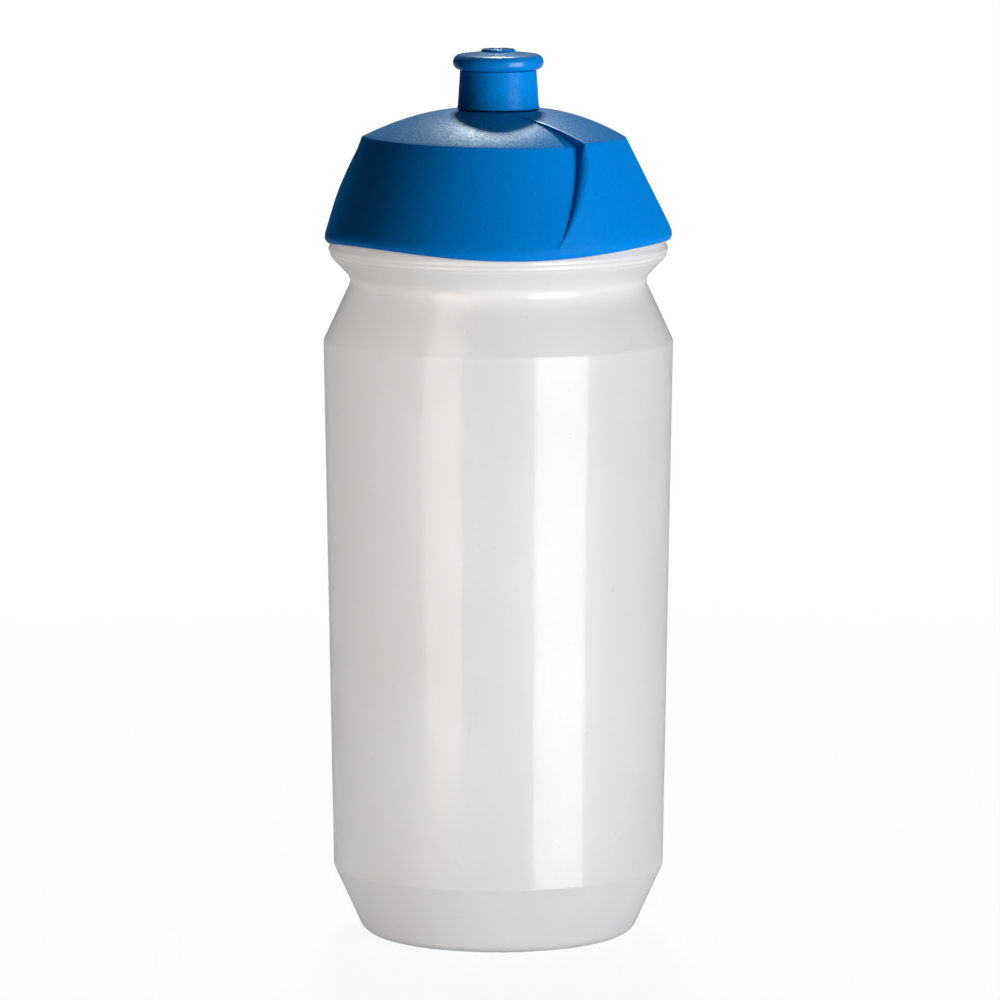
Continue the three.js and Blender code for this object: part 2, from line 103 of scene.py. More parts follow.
@dataclass
class Turning:
    """A piece turned about the bottle's axis from a half section.

    Attributes:
        corners: the section's corners in order.
        columns: how many steps go round.
        closed: whether the section closes on itself.
        arc: how many segments a fillet has.
    """

    corners: Sequence[Corner]
    columns: int = 96
    closed: bool = True
    arc: int = 5

    def start(self) -> tuple[bmesh.types.BMesh, Any]:
        """Lays the section out as a line in the XZ plane and rounds its corners.

        Returns:
            The bmesh, and its layer of marks.
        """
        bm = bmesh.new()
        marks = bm.verts.layers.int.new("mark")
        verts = [bm.verts.new((c.r * MM, 0, c.z * MM)) for c in self.corners]
        for vert, corner in zip(verts, self.corners):
            vert[marks] = corner.mark
        for pair in zip(verts, verts[1:] + verts[:1] if self.closed else verts[1:]):
            bm.edges.new(pair)
        for vert, corner in zip(verts, self.corners):
            if corner.fillet:
                self.round_off(bm, vert, corner.fillet)
        return bm, marks

    def round_off(self, bm: bmesh.types.BMesh, vert: bmesh.types.BMVert, fillet: float) -> None:
        """Turns one corner of the line into an arc.

        Args:
            bm: the bmesh of the line.
            vert: the corner.
            fillet: the arc's radius in millimetres.
        """
        sides = [edge.other_vert(vert).co - vert.co for edge in vert.link_edges]
        half = sides[0].angle(sides[1]) / 2
        reach = min(fillet * MM / math.tan(half), MOST_OF_A_SIDE * min(side.length for side in sides))
        bmesh.ops.bevel(
            bm, geom=[vert], offset=reach, offset_type="OFFSET", segments=self.arc,
            profile=0.5, affect="VERTICES", material=-1, clamp_overlap=False,
        )

    def divide(
        self, bm: bmesh.types.BMesh, spacing: float, wanted: Callable[[Vector], bool] = lambda middle: True
    ) -> None:
        """Cuts the line's long sides into rows, which take the larger mark of their side's two ends.

        Args:
            bm: the bmesh of the line.
            spacing: the rows' spacing in millimetres.
            wanted: says for the middle of a side, in millimetres, whether it is cut.
        """
        marks = bm.verts.layers.int["mark"]
        for edge in bm.edges[:]:
            ends = edge.verts[:]
            cuts = math.ceil(edge.calc_length() / (spacing * MM)) - 1
            if cuts < 1 or not wanted((ends[0].co + ends[1].co) / (2 * MM)):
                continue
            mark = max(end[marks] for end in ends)
            made = bmesh.ops.subdivide_edges(bm, edges=[edge], cuts=cuts)["geom_inner"]
            for vert in (item for item in made if isinstance(item, bmesh.types.BMVert)):
                vert[marks] = mark

    def spin(self, bm: bmesh.types.BMesh) -> None:
        """Turns the line about the axis into a closed skin that faces outwards.

        Args:
            bm: the bmesh of the line.
        """
        bmesh.ops.spin(
            bm, geom=bm.verts[:] + bm.edges[:], cent=(0, 0, 0), axis=(0, 0, 1), dvec=(0, 0, 0),
            angle=FULL_TURN, steps=self.columns, use_merge=True, use_normal_flip=False, use_duplicate=False,
        )
        bmesh.ops.remove_doubles(bm, verts=bm.verts[:], dist=MERGE_DISTANCE)
        bmesh.ops.recalc_face_normals(bm, faces=bm.faces[:])

    def made(self, spacing: float = 0.0) -> bmesh.types.BMesh:
        """Turns the whole piece.

        Args:
            spacing: the spacing of its rows in millimetres, or 0 for none.

        Returns:
            The turned piece.
        """
        bm, _ = self.start()
        if spacing:
            self.divide(bm, spacing)
        self.spin(bm)
        return bm


@dataclass(frozen=True)
class Thread:
    """A one-start right-hand thread ridge.

    Attributes:
        start_z: height of the ridge's middle at its start, at the front.
        pitch: rise of one turn.
        depth: height of the ridge over its wall.
        root_width: width of the ridge at its wall.
        crest_width: width of the ridge at its crest.
        turns: how far it winds.
        lead_in: share of a turn over which each end runs out.
    """

    start_z: float
    pitch: float = 4.2
    depth: float = 1.5
    root_width: float = 1.9
    crest_width: float = 0.9
    turns: float = 1.1
    lead_in: float = 0.08

    def height(self, azimuth: float, z: float) -> float:
        """Height of the ridge over its wall.

        Args:
            azimuth: where, in degrees from 0 to 360.
            z: at which height.

        Returns:
            The ridge's height there.
        """
        best = 0.0
        for lap in range(math.ceil(self.turns)):
            wound = azimuth / 360 + lap
            if wound > self.turns:
                continue
            shown = min(1.0, min(wound, self.turns - wound) / self.lead_in)
            away = abs(z - self.start_z - self.pitch * wound)
            flank = (self.root_width / 2 - away) / (self.root_width / 2 - self.crest_width / 2)
            best = max(best, self.depth * shown * min(max(flank, 0.0), 1.0))
        return best


class Slot(Enum):
    """The record's material slots."""

    BOTTLE = "bottle_plastic"
    LID = "lid_plastic"
    MOUTH = "mouthpiece_plastic"
    SEAL = "seal_rubber"


def stand_for(
    name: str, bm: bmesh.types.BMesh, body: str, node: str, finish: bpy.types.Material
) -> bpy.types.Object:
    """Makes a finished piece that stands for a CAD node.

    Args:
        name: the piece's name.
        bm: its shape, which is used up.
        body: the CAD body it moves with.
        node: the CAD node it stands for.
        finish: its material.

    Returns:
        The piece.
    """
    mesh = bpy.data.meshes.new(name)
    bm.to_mesh(mesh)
    bm.free()
    mesh.shade_smooth()
    mesh.set_sharp_from_angle(angle=SHARP_ANGLE)
    piece = bpy.data.objects.new(name, mesh)
    bpy.context.scene.collection.objects.link(piece)
    mesh.materials.append(finish)
    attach(piece, body)
    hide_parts(node)
    log.info("%s: %d faces, rides on %s", name, len(mesh.polygons), body)
    return piece


def shade(red: int, green: int, blue: int) -> Colour:
    """A colour given by its screen values from 0 to 255, as light."""
    values = [part / 255 for part in (red, green, blue)]
    return tuple(v / 12.92 if v <= 0.04045 else ((v + 0.055) / 1.055) ** 2.4 for v in values)


class Value:
    """A number that varies in a node graph. Sums and products with it add Math nodes."""

    def __init__(self, graph: "Graph", socket: bpy.types.NodeSocket) -> None:
        """Wraps an output socket."""
        self.graph = graph
        self.socket = socket

    def _math(self, operation: str, first: Any, second: Any) -> "Value":
        """One Math node on two values."""
        return self.graph.node("ShaderNodeMath", {"operation": operation}, {0: first, 1: second})[0]

    def __add__(self, other: Any) -> "Value":
        """This value plus another."""
        return self._math("ADD", self, other)

    def __sub__(self, other: Any) -> "Value":
        """This value less another."""
        return self._math("SUBTRACT", self, other)

    def __rsub__(self, other: Any) -> "Value":
        """Another value less this."""
        return self._math("SUBTRACT", other, self)

    def __mul__(self, other: Any) -> "Value":
        """This value times another."""
        return self._math("MULTIPLY", self, other)

    __radd__ = __add__
    __rmul__ = __mul__

    def at_least(self, limit: Any) -> "Value":
        """The larger of this value and a limit."""
        return self._math("MAXIMUM", self, limit)

    def ramp(self, low: Number, high: Number) -> "Value":
        """Eases this value in.

        Args:
            low: where the result is 0.
            high: where the result is 1.

        Returns:
            A smooth rise from 0 to 1.
        """
        settings = {"interpolation_type": "SMOOTHSTEP"}
        values = {"Value": self, "From Min": low, "From Max": high}
        return self.graph.node("ShaderNodeMapRange", settings, values)["Result"]


class Outputs:
    """The outputs of a node, by name or number."""

    def __init__(self, graph: "Graph", node: bpy.types.Node) -> None:
        """Keeps the node."""
        self.graph = graph
        self.node = node

    def __getitem__(self, key: Union[int, str]) -> Value:
        """One output as a value."""
        return Value(self.graph, self.node.outputs[key])


class Graph:
    """The node graph of a material or of the world."""

    def __init__(self, owner: Union[bpy.types.Material, bpy.types.World]) -> None:
        """Empties the owner's graph.

        Args:
            owner: the material or world.
        """
        owner.use_nodes = True
        self.tree = owner.node_tree
        self.tree.nodes.clear()

    def node(self, kind: str, settings: Optional[dict] = None, values: Optional[dict] = None) -> Outputs:
        """Adds a node.

        Args:
            kind: the node's type.
            settings: its own settings, set first.
            values: what goes into its sockets: numbers, colours or outputs of other nodes.

        Returns:
            The node's outputs.
        """
        made = self.tree.nodes.new(kind)
        for name, setting in (settings or {}).items():
            setattr(made, name, setting)
        for name, value in (values or {}).items():
            socket = made.inputs[name]
            if isinstance(value, Value):
                self.tree.links.new(value.socket, socket)
            elif isinstance(value, tuple) and len(value) == 3 and socket.type == "RGBA":
                socket.default_value = (*value, 1.0)
            else:
                socket.default_value = value
        return Outputs(self, made)

    def place(self) -> Value:
        """The place on the piece in metres."""
        return self.node("ShaderNodeTexCoord")["Object"]

    def along(self, axis: str, vector: Value) -> Value:
        """One part of a vector."""
        return self.node("ShaderNodeSeparateXYZ", {}, {0: vector})[axis]

    def stretched(self, place: Value, scale: Triple) -> Value:
        """A place with its axes scaled."""
        return self.node("ShaderNodeMapping", {}, {"Vector": place, "Scale": scale})["Vector"]

    def noise(self, place: Value, scale: float, detail: float = 2.0, rough: float = 0.5) -> Value:
        """Noise from about 0 to 1 whose features are 1/scale metres across."""
        values = {"Vector": place, "Scale": scale, "Detail": detail, "Roughness": rough}
        return self.node("ShaderNodeTexNoise", {}, values)["Fac"]

    def mixed(self, share: Value, low: Any, high: Any) -> Value:
        """A colour that goes from low to high with a share."""
        settings = {"data_type": "RGBA"}
        return self.node("ShaderNodeMix", settings, {0: share, 6: low, 7: high})[2]

    def bump(self, height: Value, distance: float, strength: float) -> Value:
        """A bumped normal from a height, with the depth of its relief in metres."""
        values = {"Height": height, "Distance": distance, "Strength": strength}
        return self.node("ShaderNodeBump", {}, values)["Normal"]

    def plastic(self, values: dict) -> Value:
        """A Principled shader."""
        return self.node("ShaderNodeBsdfPrincipled", {}, values)["BSDF"]

    def shaders(self, share: Value, low: Value, high: Value) -> Value:
        """A shader that goes from low to high with a share."""
        return self.node("ShaderNodeMixShader", {}, {0: share, 1: low, 2: high})[0]

    def surface(self, shader: Value) -> None:
        """Sends a shader to the material's output."""
        self.node("ShaderNodeOutputMaterial", {}, {"Surface": shader})


def new_graph(name: str) -> tuple[bpy.types.Material, Graph]:
    """A new material and its empty graph."""
    material = bpy.data.materials.new(name)
    return material, Graph(material)


@dataclass(frozen=True)
class MilkyPolyethylene:
    """The blown bottle's plastic: milky, soft in its gloss, and clearer down the body than at the bead and foot.

    A scale is a number of features in a metre, and a zone the part of the noise that shows as one.

    Attributes:
        wave_depth: depth of the wall's waves in metres.
        wave_strength: how strongly they tilt the light.
        grain_share: depth of the skin's grain beside a wave.
        bead_zone: heights in metres between which the wall thickens to the bead.
        foot_zone: heights in metres between which it thickens to the foot.
        foot_share: how far it thickens there, beside the bead.
    """

    name: str = "milky_polyethylene"
    colour: Colour = (0.884, 0.886, 0.89)
    cloudy: Colour = (0.846, 0.846, 0.846)
    body_transmission: float = 0.72
    bead_transmission: float = 0.42
    roughness: float = 0.42
    cloud_roughness: float = 0.06
    refraction: float = 1.51
    specular: float = 0.12
    coat: float = 0.45
    coat_roughness: float = 0.08
    coat_refraction: float = 1.5
    cloud_zone: Zone = (0.3, 0.75)
    wave_scale: float = 30.0
    wave_stretch: Triple = (1.0, 1.0, 0.35)
    wave_depth: float = 0.0004
    wave_strength: float = 0.35
    grain_scale: float = 1400.0
    grain_share: float = 0.02
    speck_scale: float = 900.0
    speck_zone: Zone = (0.76, 0.8)
    speck_share: float = 0.25
    speck_colour: Colour = shade(180, 178, 174)
    bead_zone: Zone = (0.1345, 0.141)
    foot_zone: Zone = (0.0165, 0.012)
    foot_share: float = 0.24

    def material(self) -> bpy.types.Material:
        """Builds the material.

        Returns:
            The material.
        """
        made, graph = new_graph(self.name)
        place = graph.place()
        height = graph.along("Z", place)
        cloud = graph.noise(place, self.wave_scale, detail=3.0).ramp(*self.cloud_zone)
        waves = graph.noise(graph.stretched(place, self.wave_stretch), self.wave_scale)
        grain = graph.noise(place, self.grain_scale, detail=1.0)
        specks = graph.noise(place, self.speck_scale, detail=1.0).ramp(*self.speck_zone)
        colour = graph.mixed(
            specks * self.speck_share, graph.mixed(cloud, self.colour, self.cloudy), self.speck_colour
        )
        normal = graph.bump(waves + grain * self.grain_share, self.wave_depth, self.wave_strength)
        body, bead = [
            graph.plastic({
                "Base Color": colour,
                "Roughness": self.roughness + cloud * self.cloud_roughness,
                "IOR": self.refraction,
                "Specular IOR Level": self.specular,
                "Transmission Weight": clearness,
                "Coat Weight": self.coat,
                "Coat Roughness": self.coat_roughness,
                "Coat IOR": self.coat_refraction,
                "Normal": normal,
            })
            for clearness in (self.body_transmission, self.bead_transmission)
        ]
        thick = height.ramp(*self.bead_zone).at_least(height.ramp(*self.foot_zone) * self.foot_share)
        graph.surface(graph.shaders(thick, body, bead))
        return made


@dataclass(frozen=True)
class GrainedPlastic:
    """Blue moulded plastic with a spark-eroded grain, which glitters where it lies flat under the light and has
    painted shade there.

    Attributes:
        colour: the plastic's colour.
        deep: its colour in the grain's pits.
        grain: size of the grain in millimetres.
        relief: depth of the grain in millimetres.
        roughness: gloss between the grains.
        strength: how strongly the grain tilts the light.
        specular: how strongly it mirrors, where 0.5 is plain plastic.
        frost: how strongly the grain glitters on surfaces that face up.
        frost_roughness: gloss of that glitter.
        frost_tint: what the glittering grain lets through of the colour below.
        glitter: how strongly the grain's peaks mirror on upright walls.
        crest_gloss: how strongly the polished crests mirror, which the piece marks in its attribute.
        upward_zone: the upward part of the normal on those surfaces.
        upward_painted_shade: how much painted shade darkens the colour on them, as though less light fell there.
        patch_scale: how many broad patches there are in a metre.
        patch_share: depth of a patch beside the grain.
    """

    name: str = "grained_polypropylene"
    colour: Colour = (0.0, 0.213, 0.66)
    deep: Colour = (0.0, 0.182, 0.585)
    grain: float = 0.3
    relief: float = 0.038
    roughness: float = 0.42
    strength: float = 0.5
    refraction: float = 1.49
    specular: float = 0.03
    frost: float = 1.0
    frost_roughness: float = 0.38
    frost_refraction: float = 1.7
    frost_tint: Colour = (1.0, 1.0, 0.84)
    glitter: float = 0.0
    crest_gloss: float = 0.0
    pit_zone: Zone = (0.3, 0.7)
    peak_zone: Zone = (0.34, 0.7)
    upward_zone: Zone = (0.6, 0.85)
    upward_painted_shade: float = 0.19
    patch_scale: float = 60.0
    patch_share: float = 0.3
    grain_roughness: float = 0.25
    patch_roughness: float = 0.06

    def material(self) -> bpy.types.Material:
        """Builds the material.

        Returns:
            The material.
        """
        made, graph = new_graph(self.name)
        place = graph.place()
        pits = graph.noise(place, 1 / (self.grain * MM), detail=2.5, rough=0.6)
        patches = graph.noise(place, self.patch_scale)
        height = pits + patches * self.patch_share
        upward = graph.node("ShaderNodeNewGeometry")["Normal"]
        upward = graph.along("Z", upward).ramp(*self.upward_zone)
        peaks = (upward * self.frost).at_least(self.glitter) * pits.ramp(*self.peak_zone)
        if self.crest_gloss:
            crest = graph.node("ShaderNodeAttribute", {"attribute_name": CREST_ATTRIBUTE})["Fac"]
            peaks = peaks.at_least(crest * self.crest_gloss)
        plain = graph.mixed(pits.ramp(*self.pit_zone), self.deep, self.colour)
        # Painted shade: the colour is darkened where the surface faces up, as though less light fell there.
        plain = graph.mixed(upward * self.upward_painted_shade, plain, BLACK)
        uneven = (pits - 0.5) * self.grain_roughness
        graph.surface(graph.plastic({
            "Base Color": plain,
            "Roughness": self.roughness + uneven + (patches - 0.5) * self.patch_roughness,
            "Specular IOR Level": self.specular,
            "IOR": self.refraction,
            "Coat Weight": peaks,
            "Coat Roughness": self.frost_roughness,
            "Coat IOR": self.frost_refraction,
            "Coat Tint": self.frost_tint,
            "Normal": graph.bump(height, self.relief * MM, self.strength),
        }))
        return made


@dataclass(frozen=True)
class SealSilicone:
    """Pale grey silicone of the two seals, with a little dust. Its relief is in millimetres."""

    name: str = "seal_silicone"
    colour: Colour = shade(205, 208, 210)
    dusty: Colour = shade(188, 191, 193)
    dust_scale: float = 1800.0
    dust_zone: Zone = (0.4, 0.8)
    roughness: float = 0.5
    dust_roughness: float = 0.15
    relief: float = 0.03
    strength: float = 0.3

    def material(self) -> bpy.types.Material:
        """Builds the material.

        Returns:
            The material.
        """
        made, graph = new_graph(self.name)
        dust = graph.noise(graph.place(), self.dust_scale)
        graph.surface(graph.plastic({
            "Base Color": graph.mixed(dust.ramp(*self.dust_zone), self.colour, self.dusty),
            "Roughness": self.roughness + dust * self.dust_roughness,
            "Normal": graph.bump(dust, self.relief * MM, self.strength),
        }))
        return made


@dataclass
class BlownBottle:
    """The blown bottle: push-up base, tapered body, cage groove, bead and threaded neck, as one thin shell.

    Its skin runs from the middle of the base to the neck's lip, in the order of the fields here. The mould's
    parting line ends in a pinched scar at the foot, outside the ring that the bottle stands on.
    """

    wall: float = 1.2
    columns: int = 180
    push_up: Corners = (Corner(0.0, 4.6), Corner(20.2, 4.6, 2.0))
    standing_ring: Corners = (Corner(24.6, 0.0, 0.8), Corner(28.5, 0.0, 3.4))
    body: Corners = (Corner(35.1, 14.6, 1.2), Corner(37.0, 126.8, 1.6))
    groove: Corners = (Corner(30.9, 139.9, 2.3),)
    bead_steps: Corners = (
        Corner(34.95, 144.15, 0.6),
        Corner(35.22, 144.62, 0.3),
        Corner(35.56, 144.92, 0.4),
        Corner(35.56, 145.6, 0.5),
        Corner(35.87, 146.0, 0.4),
        Corner(35.87, 146.55, 0.8),
    )
    bead_ledge: Corners = (
        Corner(35.35, 147.5, 1.2),
        Corner(35.35, 148.75, 0.4),
        Corner(34.5, 148.75, 0.5),
        Corner(33.6, 147.9, 0.4),
    )
    neck_radius: float = 28.0
    neck_foot: float = 147.9
    neck_fillet: float = 0.8
    neck_top: float = 159.9
    seam_azimuth: float = 2.0
    seam_height: float = 0.03
    scar_height: float = 0.22
    scar_reach: float = 3.5
    scar_radius: float = 25.5
    row_spacing: float = 4.0
    thread_rows: float = 0.25
    thread: Thread = Thread(start_z=152.5)
    finish: MilkyPolyethylene = MilkyPolyethylene()

    def section(self) -> Corners:
        """The outside from the middle of the base to the neck's lip.

        Returns:
            The section's corners.
        """
        below = self.push_up + self.standing_ring + self.body + self.groove + self.bead_steps + self.bead_ledge
        foot = Corner(self.neck_radius, self.neck_foot, self.neck_fillet)
        return below + (foot, Corner(self.neck_radius, self.neck_top))

    def seam(self, bm: bmesh.types.BMesh) -> None:
        """Raises the mould's parting line, with the pinched scar at the foot.

        Args:
            bm: the bottle.
        """
        half_step = 180 / self.columns
        for vert in bm.verts:
            off = (azimuth_of(vert.co) - self.seam_azimuth + half_step) % 180
            if off >= 2 * half_step or vert.co.z > self.neck_foot * MM:
                continue
            low = 1 - min(vert.co.z / (self.scar_reach * MM), 1.0)
            if vert.co.xy.length > self.scar_radius * MM:
                move_out(vert, blend(self.seam_height, self.scar_height, low) * MM)

    def shape(self) -> bmesh.types.BMesh:
        """Turns the section, gives the skin its wall and winds the thread on the neck.

        Returns:
            The bottle.
        """
        turning = Turning(self.section(), self.columns, closed=False, arc=6)
        bm, _ = turning.start()
        turning.divide(bm, self.thread_rows, lambda middle: middle.z > self.neck_foot)
        turning.divide(bm, self.row_spacing, lambda middle: middle.z < self.neck_foot)
        bmesh.ops.rotate(bm, verts=bm.verts[:], matrix=Matrix.Rotation(math.radians(self.seam_azimuth), 3, "Z"))
        turning.spin(bm)
        bmesh.ops.solidify(bm, geom=bm.faces[:], thickness=self.wall * MM)
        bmesh.ops.recalc_face_normals(bm, faces=bm.faces[:])
        for vert in bm.verts:
            if vert.co.z > self.neck_foot * MM and vert.co.xy.length > (self.neck_radius - NEAR) * MM:
                move_out(vert, self.thread.height(azimuth_of(vert.co), vert.co.z / MM) * MM)
        self.seam(bm)
        return bm

    def build(self) -> bpy.types.Object:
        """Makes the bottle."""
        return stand_for(
            BOTTLE_PIECE, self.shape(), "bottle", "bottle_body", self.finish.material()
        )


class Side(Enum):
    """Which part of the lid a vertex belongs to. Between two corners the larger number wins."""

    INSIDE = 0
    DOME = 1
    CROWN = 2
    SKIRT = 3


class Column(NamedTuple):
    """A column round the lid: its place and panel, its share of the panel, its way up the step and its crest."""

    place: int
    panel: int
    share: float
    up: float
    round: float


@dataclass
class ScrewLid:
    """The screw lid: three swirled grip panels outside, a threaded collar, plug lip and stem boss inside.

    A panel starts at a step: the step's foot is the end of the panel before it, then come its wall and its rounded
    crest, and the panel falls back from there. The fields called power say how quickly something falls.

    Attributes:
        first_share: share of a panel that its first column takes up.
        spread: how far the columns at a step are drawn apart, in degrees.
        crease_offset: how far from the axis the steps' straight lines over the dome pass.
        crest_fade: share of the skirt's height over which its crest sharpens towards the edge.
        crest_along: share of the first column's width that a crest may round.
        crest_down: share of a step's height that it may round.
        least_step: height under which a step has no wall.
    """

    panels: int = 3
    panel_columns: int = 64
    wall_columns: int = 3
    round_columns: int = 9
    first_share: float = 0.035
    spread: float = 0.04
    rim_radius: float = 36.7
    rim_inner: float = 35.8
    rim_z: float = 147.7
    rim_fillet: float = 0.5
    rim_taper: float = 0.52
    rim_wave: float = 0.8
    rim_wave_azimuth: float = 7.0
    lip_height: float = 1.0
    lip_fillet: float = 1.5
    rim_round: float = 1.7
    foot_fillet: float = 3.0
    high_radius: float = 29.1
    high_z: float = 170.3
    high_fillet: float = 0.35
    crown_z: float = 175.6
    crown_radius: float = 9.0
    dome_power: float = 1.65
    bore: float = 5.2
    step_azimuth: float = 19.0
    step_sweep: float = 19.1
    step_depth: float = 2.7
    step_drop: float = 1.1
    step_ease: float = 0.08
    sweep_power: float = 0.89
    rise_power: float = 1.9
    depth_power: float = 3.0
    drop_power: float = 1.1
    edge_power: float = 4.0
    crease_offset: float = 8.0
    bulge: float = 0.6
    skirt_crest_round: float = 2.2
    dome_crest_round: float = 0.34
    crest_fade: float = 0.15
    crest_along: float = 0.9
    crest_down: float = 0.8
    least_step: float = 1e-4
    ledge_z: float = 150.8
    skirt_inside: Corners = (Corner(33.6, 152.8), Corner(32.3, 155.3, 0.3))
    collar_outer: float = 31.4
    collar_root: float = 155.3
    collar_foot: float = 148.6
    collar_bore: float = 30.0
    collar_top: float = 158.8
    collar_fillet: float = 0.3
    seal_land: Corners = (Corner(28.6, 159.4, 0.2), Corner(28.6, 161.7, 0.2), Corner(26.1, 161.7, 0.2))
    plug_lip: Corners = (Corner(26.1, 157.5, 0.4), Corner(24.9, 157.5, 0.4), Corner(24.9, 167.9, 0.6))
    dome_inside: Corners = (Corner(22.0, 170.2), Corner(16.0, 172.6))
    stem_boss: Corners = (
        Corner(9.2, 173.9, 0.3), Corner(9.2, 171.6, 0.2), Corner(7.8, 171.6, 0.2), Corner(7.8, 173.9),
    )
    row_spacing: float = 0.8
    thread_rows: float = 0.3
    thread: Thread = Thread(start_z=150.75)
    finish: GrainedPlastic = GrainedPlastic(crest_gloss=1.0)

    @property
    def foot_z(self) -> float:
        """Height at which the skirt's slope starts."""
        return self.rim_z + self.rim_round

    def section(self) -> list[Corner]:
        """The lid's section where a panel is proud, closed through the thread collar and the boss.

        Returns:
            The section's corners, each marked with its side.
        """
        skirt, dome, crown = Side.SKIRT.value, Side.DOME.value, Side.CROWN.value
        return [
            Corner(self.bore, self.crown_z, mark=crown),
            Corner(self.crown_radius, self.crown_z, mark=dome),
            Corner(self.high_radius, self.high_z, self.high_fillet, dome),
            Corner(self.rim_radius, self.foot_z, self.foot_fillet, skirt),
            Corner(self.rim_radius, self.rim_z + self.lip_height, self.lip_fillet, skirt),
            Corner(self.rim_radius - self.rim_taper, self.rim_z, self.rim_fillet, skirt),
            Corner(self.rim_inner, self.rim_z, mark=skirt),
            Corner(self.rim_inner, self.ledge_z),
            *self.skirt_inside,
            Corner(self.collar_outer, self.collar_root, self.collar_fillet),
            Corner(self.collar_outer, self.collar_foot, self.collar_fillet),
            Corner(self.collar_bore, self.collar_foot, self.collar_fillet),
            Corner(self.collar_bore, self.collar_top, self.collar_fillet),
            *self.seal_land,
            *self.plug_lip,
            *self.dome_inside,
            *self.stem_boss,
            Corner(self.bore, self.stem_boss[-1].z),
        ]

    def column(self, number: int) -> Column:
        """Finds what one column round the lid is.

        Args:
            number: its number, counted from the first step.

        Returns:
            The column.
        """
        panel, place = divmod(number, self.panel_columns)
        crest = self.wall_columns
        last_round = crest + self.round_columns - 1
        if place < crest:
            return Column(place, panel, 0.0, place / crest, 0.0)
        if place <= last_round:
            return Column(place, panel, 0.0, 1.0, (place - crest) / (self.round_columns - 1))
        along = (place - last_round - 1) / (self.panel_columns - last_round - 1)
        return Column(last_round + 1, panel, blend(self.first_share, 1.0, along), 1.0, 1.0)

    def crease_turn(self, radius: float) -> float:
        """How far the step's straight line over the dome has turned at a radius, in degrees."""
        return math.degrees(math.acos(min(self.crease_offset / radius, 1.0)))

    def skin(self, side: Side, panel: int, share: float, way: float) -> Vector:
        """A point of the panels' skin, in millimetres.

        Args:
            side: skirt or dome.
            panel: the panel.
            share: share of the way round the panel.
            way: share of the way up the skirt, or out over the dome.

        Returns:
            The point.
        """
        azimuth = self.step_azimuth + 360 / self.panels * (panel + share)
        if side is Side.SKIRT:
            azimuth += self.step_sweep * way**self.sweep_power
            wave = self.rim_wave * math.cos(self.panels * math.radians(azimuth - self.rim_wave_azimuth))
            top = self.high_z - self.step_drop * fall(share, self.drop_power)
            z = blend(self.foot_z - wave, top, way)
            radius = blend(self.rim_radius, self.high_radius, way) + 4 * self.bulge * way * (1 - way)
            eased = math.hypot(way, self.step_ease) - self.step_ease
            radius -= self.step_depth * fall(eased, self.rise_power) * fall(share, self.depth_power)
        else:
            edge = self.high_radius - self.step_depth * fall(share, self.depth_power)
            radius = blend(self.crown_radius, edge, way)
            azimuth += self.step_sweep + self.crease_turn(radius) - self.crease_turn(edge)
            z = self.crown_z - (self.crown_z - self.high_z) * way**self.dome_power
            z -= self.step_drop * fall(share, self.drop_power) * way**self.edge_power
        angle = math.radians(azimuth)
        return Vector((radius * math.sin(angle), -radius * math.cos(angle), z))

    def swirled(self, side: Side, column: Column, way: float) -> Vector:
        """A point of the skin with its steps: the step's foot, its wall, its rounded crest, or a panel.

        Args:
            side: skirt or dome.
            column: the column.
            way: share of the way up the skirt, or out over the dome.

        Returns:
            The point in millimetres.
        """
        if column.share:
            return self.skin(side, column.panel, column.share, way)
        low = self.skin(side, column.panel - 1, 1.0, way)
        high = self.skin(side, column.panel, 0.0, way)
        drop = low - high
        along = self.skin(side, column.panel, self.first_share, way) - high
        softened = min((1 - way) / self.crest_fade, 1.0) if side is Side.SKIRT else 0.0
        wanted = blend(self.dome_crest_round, self.skirt_crest_round, softened)
        reach = min(wanted, along.length * self.crest_along, drop.length)
        sunk = Vector()
        if drop.length > self.least_step:
            sunk = drop.normalized() * min(reach, drop.length * self.crest_down)
        if column.up < 1.0:
            return low.lerp(high + sunk, column.up)
        turn = column.round * math.pi / 2
        return high + sunk * (1 - math.sin(turn)) + along.normalized() * reach * (1 - math.cos(turn))

    def in_collar(self, r: float, z: float) -> bool:
        """Whether a radius and height lie on the wall of the collar that carries the thread."""
        return abs(r - self.collar_bore) < NEAR and z < self.collar_top

    def on_skin(self, middle: Vector) -> bool:
        """Tells the swirled outside from the inside.

        Args:
            middle: a point of the flat section, in millimetres.

        Returns:
            Whether it lies on the dome, on the skirt's slope or at the rim.
        """
        way = (middle.z - self.foot_z) / (self.high_z - self.foot_z)
        sloping = 0 < way < 1 and abs(middle.x - blend(self.rim_radius, self.high_radius, way)) < NEAR
        return sloping or middle.z > self.high_z or middle.x > self.rim_inner - NEAR

    def shape(self) -> bmesh.types.BMesh:
        """Turns the section, swirls its outside and winds the thread in its collar.

        Returns:
            The lid, with the crests of its dome marked.
        """
        columns = self.panels * self.panel_columns
        turning = Turning(self.section(), columns, arc=4)
        bm, marks = turning.start()
        turning.divide(bm, self.thread_rows, lambda middle: self.in_collar(middle.x, middle.z))
        turning.divide(bm, self.row_spacing, self.on_skin)
        bmesh.ops.rotate(bm, verts=bm.verts[:], matrix=Matrix.Rotation(-RIGHT_ANGLE, 3, "Z"))
        turning.spin(bm)
        crest = bm.verts.layers.float.new(CREST_ATTRIBUTE)
        for vert in bm.verts:
            column = self.column(round(azimuth_of(vert.co) / 360 * columns) % columns)
            side = Side(vert[marks])
            vert[crest] = 4 * column.round * (1 - column.round) if side is Side.DOME else 0.0
            self.set_vertex(vert, side, column)
        bmesh.ops.recalc_face_normals(bm, faces=bm.faces[:])
        return bm

